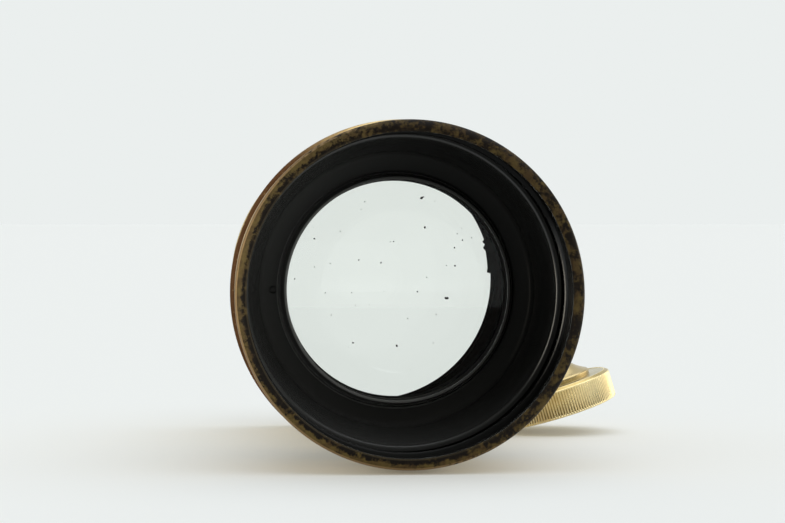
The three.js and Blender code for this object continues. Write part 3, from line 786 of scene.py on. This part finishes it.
# ---- Barrel, jacket and flange ----
BARREL_REAR = 136.2
JACKET_FRONT = 77.0
JACKET_REAR = 139.7
JACKET_BORE_R = 32.9
JACKET_R = 35.9
JACKET_BEAD_R = 38.0
JACKET_GROOVES = (86.0, 87.6)
SLOT_FRONT = 80.6
SLOT_HALF = 3.5
FLANGE_R = 43.3
FLANGE_FRONT = 134.4
FLANGE_HUB_R = 39.0
FLANGE_HUB_FRONT = 131.4
HOLE_CIRCLE_R = 40.2
FLANGE_HOLE_R = 1.7
COUNTERSINK_R = 2.9
COUNTERSINK_DEPTH = 1.3
HOLE_DEGREES = (30, 150, 270)


def outer_jacket():
    bead = arc(JACKET_R, JACKET_FRONT + 1.6, JACKET_BEAD_R - JACKET_R, 1.5, -80, 80, 14)
    grooves = []
    for station in JACKET_GROOVES:
        grooves += [(JACKET_R, station - 0.3), (JACKET_R - 0.25, station), (JACKET_R, station + 0.3)]
    outer = [(JACKET_R, JACKET_FRONT, 0.2), *bead, (JACKET_R, JACKET_FRONT + 3.4), *grooves,
             (JACKET_R, JACKET_REAR, 0.3)]
    inner = [(JACKET_BORE_R, JACKET_REAR, 0.3), (JACKET_BORE_R, JACKET_FRONT, 0.3)]
    shell = turned("outer_jacket_shell", outer + inner, DRIVE)
    slot = block("cutter", (JACKET_BORE_R - 2, SLOT_FRONT, -SLOT_HALF),
                 (JACKET_BEAD_R + 2, JACKET_REAR + 1, SLOT_HALF))
    return carved(shell, slot)


def mounting_flange():
    bore_r = JACKET_R + GAP
    teeth = 240
    band = [(FLANGE_HUB_R, s) for s in (FLANGE_HUB_FRONT + 0.5, FLANGE_HUB_FRONT + 0.9, FLANGE_FRONT - 0.8)]
    outer = [(FLANGE_HUB_R, FLANGE_HUB_FRONT, 0.35), *band, (FLANGE_HUB_R, FLANGE_FRONT - 0.4),
             (FLANGE_HUB_R, FLANGE_FRONT), (FLANGE_R, FLANGE_FRONT, 0.7), (FLANGE_R, JACKET_REAR, 0.25)]
    inner = [(bore_r, JACKET_REAR, 0.2), (bore_r, FLANGE_HUB_FRONT, 0.2)]
    shape = knurl(FLANGE_HUB_R, teeth, FLANGE_HUB_FRONT + 0.45, FLANGE_FRONT - 0.35)
    flange = turned("mounting_flange_ring", outer + inner, steps=teeth * 4, shape=shape)
    cutters = []
    for degrees in HOLE_DEGREES:
        angle = math.radians(degrees)
        centre = (HOLE_CIRCLE_R * math.cos(angle), 0, HOLE_CIRCLE_R * math.sin(angle))
        place = LENS @ Matrix.Translation(centre)
        points = [(0, FLANGE_FRONT - 1), (COUNTERSINK_R, FLANGE_FRONT - 1), (COUNTERSINK_R, FLANGE_FRONT),
                  (FLANGE_HOLE_R, FLANGE_FRONT + COUNTERSINK_DEPTH), (FLANGE_HOLE_R, JACKET_REAR + 1),
                  (0, JACKET_REAR + 1)]
        cutters.append(turned("cutter", points, place, closed=False, steps=40))
    return carved(flange, *cutters)


# ---- Rack and pinion drive ----
HOUSING_LENGTH = 11.5
HOUSING_WIDTH = 12.0
LUG_TOP = 41.3
DOME_R = 7.0
SADDLE_BASE = 33.6
SHAFT_BORE_R = 2.65
CAVITY_R = 5.5
CAVITY_HALF = 3.5
CAP_SCREW_ALONG = 9.0
CAP_SCREW_ACROSS = 8.8
CAP_SCREW_HEAD_R = 1.9
CAP_SCREW_HEIGHT = 1.35
BUSHING_R = 4.6
BUSHING_END = 33.4


def pinion_housing():
    low = (SADDLE_BASE, PINION_STATION - HOUSING_LENGTH, -HOUSING_WIDTH)
    high = (PINION_R - GAP / 2, PINION_STATION + HOUSING_LENGTH, HOUSING_WIDTH)
    saddle = block("pinion_saddle", low, high)
    seat = rod("cutter", JACKET_R + GAP, low[1] - 1, high[1] + 1, DRIVE, steps=ROUND)
    cavity = rod("cutter", CAVITY_R, -CAVITY_HALF, CAVITY_HALF, SHAFT)
    bore = rod("cutter", SHAFT_BORE_R, -HOUSING_WIDTH - 1, HOUSING_WIDTH + 1, SHAFT)
    return bevelled(carved(saddle, seat, cavity, bore), 0.22)


def pinion_cap():
    base = PINION_R + GAP / 2
    low = PINION_STATION - HOUSING_LENGTH
    high = PINION_STATION + HOUSING_LENGTH
    start = math.degrees(math.asin((LUG_TOP - PINION_R) / DOME_R))
    dome = [(PINION_R + DOME_R * math.sin(math.radians(turn)),
             PINION_STATION - DOME_R * math.cos(math.radians(turn)))
            for turn in [start + (180 - 2 * start) * k / 32 for k in range(33)]]
    outline = [(base, low), (LUG_TOP, low), *dome, (LUG_TOP, high), (base, high)]
    cap = extruded("pinion_cover", outline, -HOUSING_WIDTH, HOUSING_WIDTH)
    cavity = rod("cutter", CAVITY_R, -CAVITY_HALF, CAVITY_HALF, SHAFT)
    bore = rod("cutter", SHAFT_BORE_R, -HOUSING_WIDTH - 1, HOUSING_WIDTH + 1, SHAFT)
    return bevelled(carved(cap, cavity, bore), 0.25)


def slotted_screw(name, place, shank_r, shank_from, head_from, head_r, height, slot=0.45):
    """A round-headed screw on the frame's y axis, with its slot across x."""
    dome = arc(0, head_from + height * 0.35, head_r, height * 0.65, 0, 90, 8)
    outline = [(0, shank_from), (shank_r, shank_from), (shank_r, head_from), (head_r - 0.1, head_from),
               *dome[:-1], (0, head_from + height)]
    screw = turned(name, outline, place, closed=False, steps=48)
    low = (-head_r - 1, head_from + height * 0.45, -slot / 2)
    return carved(screw, block("cutter", low, (head_r + 1, head_from + height + 1, slot / 2), place))


def cap_screws():
    screws = []
    number = 0
    draw = random.Random(5)
    for along in (-CAP_SCREW_ALONG, CAP_SCREW_ALONG):
        for across in (-CAP_SCREW_ACROSS, CAP_SCREW_ACROSS):
            number += 1
            place = DRIVE @ Matrix.Translation((0, PINION_STATION + along, across))
            place = place @ Matrix.Rotation(-math.pi / 2, 4, "Z")
            place = place @ Matrix.Rotation(draw.uniform(0, 3), 4, "Y")
            screw = slotted_screw(f"cap_screw_head_{number}", place, shank_r=1.0, shank_from=36.9,
                                  head_from=LUG_TOP + 0.05, head_r=CAP_SCREW_HEAD_R, height=CAP_SCREW_HEIGHT)
            screws.append((screw, f"cap_screw_{number}"))
    return screws


def shaft_bushing():
    start = HOUSING_WIDTH + GAP
    collar = arc(BUSHING_R, BUSHING_END - 1.7, 0.8, 1.5, -80, 80, 10)
    outer = [(BUSHING_R, start, 0.15), (BUSHING_R, BUSHING_END - 3.6), *collar, (BUSHING_R, BUSHING_END, 0.2)]
    inner = [(SHAFT_BORE_R, BUSHING_END, 0.2), (SHAFT_BORE_R, start)]
    return turned("shaft_tube", outer + inner, SHAFT, steps=96)


# ---- Knob ----
KNOB_R = 18.5
KNOB_OUTER = 51.7
KNOB_INNER = KNOB_OUTER - 8.6
KNOB_BEVEL_R = KNOB_R - 1.2
KNOB_BOSS_R = 12.9
KNOB_BOSS_TOP = KNOB_INNER - 1.5
KNOB_HUB = 34.0
KNOB_HUB_R = 5.2
KNOB_BORE_R = 2.8
KNOB_TEETH = 142
KNOB_DISH = KNOB_OUTER - 0.9                   # floor of the shallow dish in the outer face
FLARE = 3.4                                    # the trumpet's length scale
SCREW_SEAT = KNOB_OUTER - 2.2
SCREW_BORE_R = 1.5
SHAFT_END = 44.9                               # with its gap


def trumpet(steps=18):
    """The hub's flare: steep at the shaft, almost flat where it meets the boss."""
    points = []
    for k in range(steps + 1):
        height = (KNOB_BOSS_TOP - KNOB_HUB - 0.6) * (k / steps) ** 1.6
        r = KNOB_HUB_R + (KNOB_BOSS_R - 0.35 - KNOB_HUB_R) * math.exp(-height / FLARE)
        points.append((r, KNOB_BOSS_TOP - height))
    return points[::-1]


def focus_knob():
    land = KNOB_INNER + 0.2
    low = KNOB_INNER + 0.8
    high = KNOB_OUTER - 0.35
    band = [(KNOB_R, s) for s in (low, low + 0.25, low + 0.5, high - 0.5, high - 0.25, high)]
    outline = [(KNOB_BORE_R, KNOB_HUB), (KNOB_HUB_R + 0.1, KNOB_HUB, 0.3), *trumpet(),
               (KNOB_BOSS_R, KNOB_BOSS_TOP + 0.35, 0.3), (KNOB_BOSS_R - 0.1, land, 0.12),
               (KNOB_BEVEL_R - 0.2, land, 0.1), (KNOB_BEVEL_R, KNOB_INNER, 0.12),
               (KNOB_R - 0.12, KNOB_INNER + 0.7, 0.15), *band, (KNOB_R - 0.35, KNOB_OUTER, 0.2),
               (KNOB_R - 3.4, KNOB_OUTER, 0.4), (KNOB_R - 4.4, KNOB_DISH, 0.4),
               (6.2, KNOB_DISH, 0.5), (5.4, SCREW_SEAT, 0.3), (SCREW_BORE_R, SCREW_SEAT),
               (SCREW_BORE_R, SHAFT_END), (KNOB_BORE_R, SHAFT_END)]
    cut = knurl(KNOB_R, KNOB_TEETH, low - 0.02, high + 0.02, depth=0.36, run_out=0.5)

    def shape(r, s, angle):
        worn = 0.7 * max(0.0, math.cos(angle)) ** 2
        return r + (cut(r, s, angle) - r) * (1 - worn)

    return turned("knob_wheel", outline, SHAFT, steps=KNOB_TEETH * 8, shape=shape)


# ---- Dust on the front glass ----
SPECKS = 46
SPECK_REACH = 27.5                             # farthest from the axis


def dust():
    """Small irregular flakes lying on the front crown, a few of them larger and placed one by one."""
    draw = random.Random(11)
    specks = [(6.9, 24.2, 0.34), (7.4, 24.5, 0.26), (13.2, -2.4, 0.36), (13.7, -2.4, 0.3),
              (-11.4, -14.2, 0.3), (7.7, 16.4, 0.26), (15.6, 11.0, 0.26), (15.7, 6.2, 0.26),
              (0.2, -15.0, 0.28), (-21.6, 13.4, 0.28)]
    while len(specks) < SPECKS:
        r = SPECK_REACH * math.sqrt(draw.random())
        angle = draw.uniform(0, 2 * math.pi)
        specks.append((r * math.cos(angle), r * math.sin(angle), draw.uniform(0.08, 0.2)))

    def build(bm):
        for x, z, size in specks:
            y = CROWN_VERTEX + sagitta(CROWN_RADIUS, math.hypot(x, z)) - 0.05
            stretch = draw.uniform(0.6, 1.5)
            made = bmesh.ops.create_icosphere(bm, subdivisions=1, radius=1.0)["verts"]
            turn = Matrix.Rotation(draw.uniform(0, math.pi), 4, "Y")
            for vert in made:
                vert.co *= draw.uniform(0.75, 1.2)
                vert.co = turn @ Vector((vert.co.x * size * stretch, vert.co.y * 0.03, vert.co.z * size))
                vert.co += Vector((x, y, z))

    return mesh_object("glass_dust", build, LENS)


# ---- Assembly ----
hood_finish = worn_hood()
cell_black = black_lacquer()
glass_cell_black = matt_black()
jacket_brass = turned_brass("jacket_brass", LENS)
fitting_brass = turned_brass("fitting_brass", SHAFT, bright=(0.56, 0.40, 0.16), tarnish=0.5)
crown_glass = optical_glass("crown_glass", (0.985, 0.995, 0.985), 1.517)
flint_glass = optical_glass("flint_glass", (0.985, 0.99, 0.98), 1.62)
steel = blued_steel()
BLACK = "black_lacquered_brass"
BRASS = "lacquered_brass"

add_piece(hood(), "hood", BLACK, hood_finish, "hood")
add_piece(front_cell(), "barrel", BLACK, cell_black, "front_cell")
add_piece(retaining_ring(), "barrel", BLACK, cell_black, "front_retaining_ring")
add_piece(lens("crown_front", (CROWN_VERTEX, CROWN_RADIUS), (CEMENT_VERTEX, -CEMENT_RADIUS), GLASS_R),
          "barrel", "crown_glass", crown_glass, "front_crown")
add_piece(lens("flint_front", (CEMENT_VERTEX + CEMENT_GAP, -CEMENT_RADIUS), (FLINT_REAR, None), GLASS_R),
          "barrel", "flint_glass", flint_glass, "front_flint")
add_piece(dust(), "barrel", BLACK, dark_speck())

add_piece(plain_ring("barrel_tube", BARREL_BORE_R, BARREL_R, BARREL_FRONT, BARREL_REAR), "barrel", BRASS,
          barrel_finish(), "inner_barrel")
add_piece(rear_cell(), "barrel", BLACK, glass_cell_black, "rear_cell")
add_piece(lens("flint_rear", (PAIR_FLINT_FRONT, FLINT_FRONT_RADIUS),
               (PAIR_FLINT_REAR, FLINT_REAR_RADIUS), PAIR_R),
          "barrel", "flint_glass", flint_glass, "rear_flint")
add_piece(plain_ring("spacer", SPACER_BORE_R, PAIR_R, SPACER_FRONT, SPACER_REAR), "barrel", BLACK,
          glass_cell_black, "rear_spacer_ring")
add_piece(lens("crown_rear", (CROWN_EDGE_FRONT - sagitta(CROWN_FRONT_RADIUS, PAIR_R), CROWN_FRONT_RADIUS),
               (CROWN_EDGE_REAR + sagitta(CROWN_REAR_RADIUS, PAIR_R), -CROWN_REAR_RADIUS), PAIR_R),
          "barrel", "crown_glass", crown_glass, "rear_crown")
add_piece(plain_ring("rear_ring", PAIR_R - 1.5, PAIR_R, REAR_RING_FRONT, REAR_RING_REAR, 0.3),
          "barrel", BLACK, glass_cell_black, "rear_retaining_ring")

add_piece(outer_jacket(), "jacket", BRASS, jacket_brass, "outer_jacket")
add_piece(mounting_flange(), "jacket", BRASS, jacket_brass, "mounting_flange")
add_piece(pinion_housing(), "jacket", BRASS, fitting_brass, "pinion_housing")
add_piece(pinion_cap(), "jacket", BRASS, fitting_brass, "pinion_cap")
for screw, node in cap_screws():
    add_piece(screw, "jacket", "blued_steel", steel, node)
add_piece(shaft_bushing(), "jacket", BRASS, fitting_brass, "shaft_bushing")
add_piece(focus_knob(), "pinion", "knurled_brass", knob_brass(), "focus_knob")
knob_screw = slotted_screw("knob_screw_head", SHAFT, shank_r=0.9, shank_from=38.6,
                           head_from=SCREW_SEAT + GAP, head_r=3.4, height=1.6, slot=0.8)
add_piece(knob_screw, "pinion", "blued_steel", steel, "knob_screw")

for node, material in (("rack", fitting_brass), ("pinion_shaft", steel), ("ring_lock_screw", cell_black),
                       ("rack_screw_1", steel), ("rack_screw_2", steel)):
    cad = frame["nodes"][node]
    cad.data.materials.clear()
    cad.data.materials.append(material)

# ---- Studio: a pale backdrop and floor, an overhead light from behind, and cards for the reflections ----
BACKDROP = (0.83, 0.863, 0.855)
AROUND = (0.38, 0.395, 0.39)
ROOM = (0.20, 0.20, 0.19)
WARM_BOUNCE = (0.86, 0.82, 0.68)               # painted bounce light off the brass on to the floor
FLOOR_SIZE = 60
FLOOR_GREY = (0.474, 0.474, 0.455)
CONTACT_REACH = 0.10                           # metres within which the floor's glow is dimmed near the lens: a painted shadow
GLOW_NEAR = 0.10
GLOW_OPEN = 0.45
MOUTH = Vector((AXIS_X, RIM_Y, AXIS_Z))
EYE_FROM_MOUTH = Vector((-0.0454, -0.5631, 0.0185))
LOOK_DOWN = 1.042                              # degrees
LOOK_RIGHT = 4.163                             # degrees
FOCAL_LENGTH = 105.97
SENSOR_WIDTH = 36


def floor():
    bpy.ops.mesh.primitive_plane_add(size=FLOOR_SIZE, location=(0, 0, 0))
    plane = bpy.context.object
    plane.name = "studio_floor"
    surface = Surface("studio_floor", color=FLOOR_GREY, roughness=0.9, Specular_IOR_Level=0.0)
    # The floor glows as painted light, dimmed close to the lens as a painted shadow and warmed there as
    # painted bounce light.
    near = surface.nodes.new("ShaderNodeAmbientOcclusion")
    near.inputs["Distance"].default_value = CONTACT_REACH
    openness = surface.math("POWER", near.outputs["AO"], 0.3)
    surface.into("Emission Strength", surface.span(openness, GLOW_NEAR, GLOW_OPEN))
    surface.into("Emission Color", surface.blend(near.outputs["AO"], WARM_BOUNCE, BACKDROP))
    plane.data.materials.append(surface.material)


def world():
    """A bright backdrop behind the lens, softer light all round, and the dim room behind the camera."""
    sky = bpy.data.worlds.new("studio")
    bpy.context.scene.world = sky
    sky.use_nodes = True
    nodes = sky.node_tree.nodes
    links = sky.node_tree.links
    direction = nodes.new("ShaderNodeTexCoord")
    split = nodes.new("ShaderNodeSeparateXYZ")
    ramp = nodes.new("ShaderNodeValToRGB")
    ramp.color_ramp.interpolation = "EASE"
    elements = ramp.color_ramp.elements
    elements.new(0.5)
    elements.new(0.75)
    stops = ((0.09, ROOM), (0.26, AROUND), (0.78, AROUND), (0.93, BACKDROP))
    for element, (position, color) in zip(elements, stops):
        element.position = position
        element.color = (*color, 1)
    scale = nodes.new("ShaderNodeMapRange")
    scale.inputs["From Min"].default_value = -1.0
    links.new(direction.outputs["Generated"], split.inputs[0])
    links.new(split.outputs["Y"], scale.inputs["Value"])
    links.new(scale.outputs["Result"], ramp.inputs["Fac"])
    links.new(ramp.outputs["Color"], nodes["Background"].inputs["Color"])


def aimed(obj, target):
    """Turn a light so that it shines at target."""
    obj.rotation_euler = (Vector(target) - obj.location).to_track_quat("-Z", "Y").to_euler()


def card(name, location, target, size, radiance, color):
    """A soft card that shows only in reflections. Its power follows from its size and radiance."""
    data = bpy.data.lights.new(name, "AREA")
    data.shape = "RECTANGLE"
    data.size, data.size_y = size
    data.energy = radiance * math.pi * size[0] * size[1]
    data.color = color
    light = bpy.data.objects.new(name, data)
    light.location = location
    light.visible_diffuse = False
    light.visible_transmission = False
    bpy.context.scene.collection.objects.link(light)
    aimed(light, target)


def sun(strength, direction, spread, color):
    data = bpy.data.lights.new("overhead", "SUN")
    data.energy = strength
    data.angle = math.radians(spread)
    data.color = color
    light = bpy.data.objects.new("overhead", data)
    light.location = direction
    bpy.context.scene.collection.objects.link(light)
    aimed(light, (0, 0, 0))


def camera():
    """Almost straight into the hood, from a little to the left and above."""
    data = bpy.data.cameras.new("camera")
    data.lens = FOCAL_LENGTH
    data.sensor_width = SENSOR_WIDTH
    data.clip_start = 0.01
    eye = bpy.data.objects.new("camera", data)
    eye.location = MOUTH + EYE_FROM_MOUTH
    eye.rotation_euler = (math.radians(90 - LOOK_DOWN), 0, math.radians(-LOOK_RIGHT))
    bpy.context.scene.collection.objects.link(eye)
    bpy.context.scene.camera = eye


floor()
world()
sun(strength=2.09, direction=(0.22, -0.05, 1.0), spread=80, color=(0.912, 0.944, 1.0))
card("left_card", MOUTH + Vector((-0.27, -0.20, 0.03)), MOUTH,
     size=(0.20, 0.23), radiance=7, color=(1.0, 0.93, 0.78))
card("right_card", MOUTH + Vector((0.42, 0.22, 0.06)), MOUTH,
     size=(0.3, 0.2), radiance=2.1, color=(1.0, 0.88, 0.70))
card("side_card", MOUTH + Vector((-0.36, 0.07, 0.16)), MOUTH,
     size=(0.07, 0.42), radiance=1.8, color=(1.0, 0.95, 0.85))
low_spot = Vector((AXIS_X - 0.25, RIM_Y - 0.17, 0.002))
card("left_floor_card", low_spot, low_spot + Vector((0, 0, 1)),
     size=(0.2, 0.2), radiance=4, color=(1.0, 0.88, 0.68))
camera()
bpy.context.scene.view_settings.view_transform = "Standard"
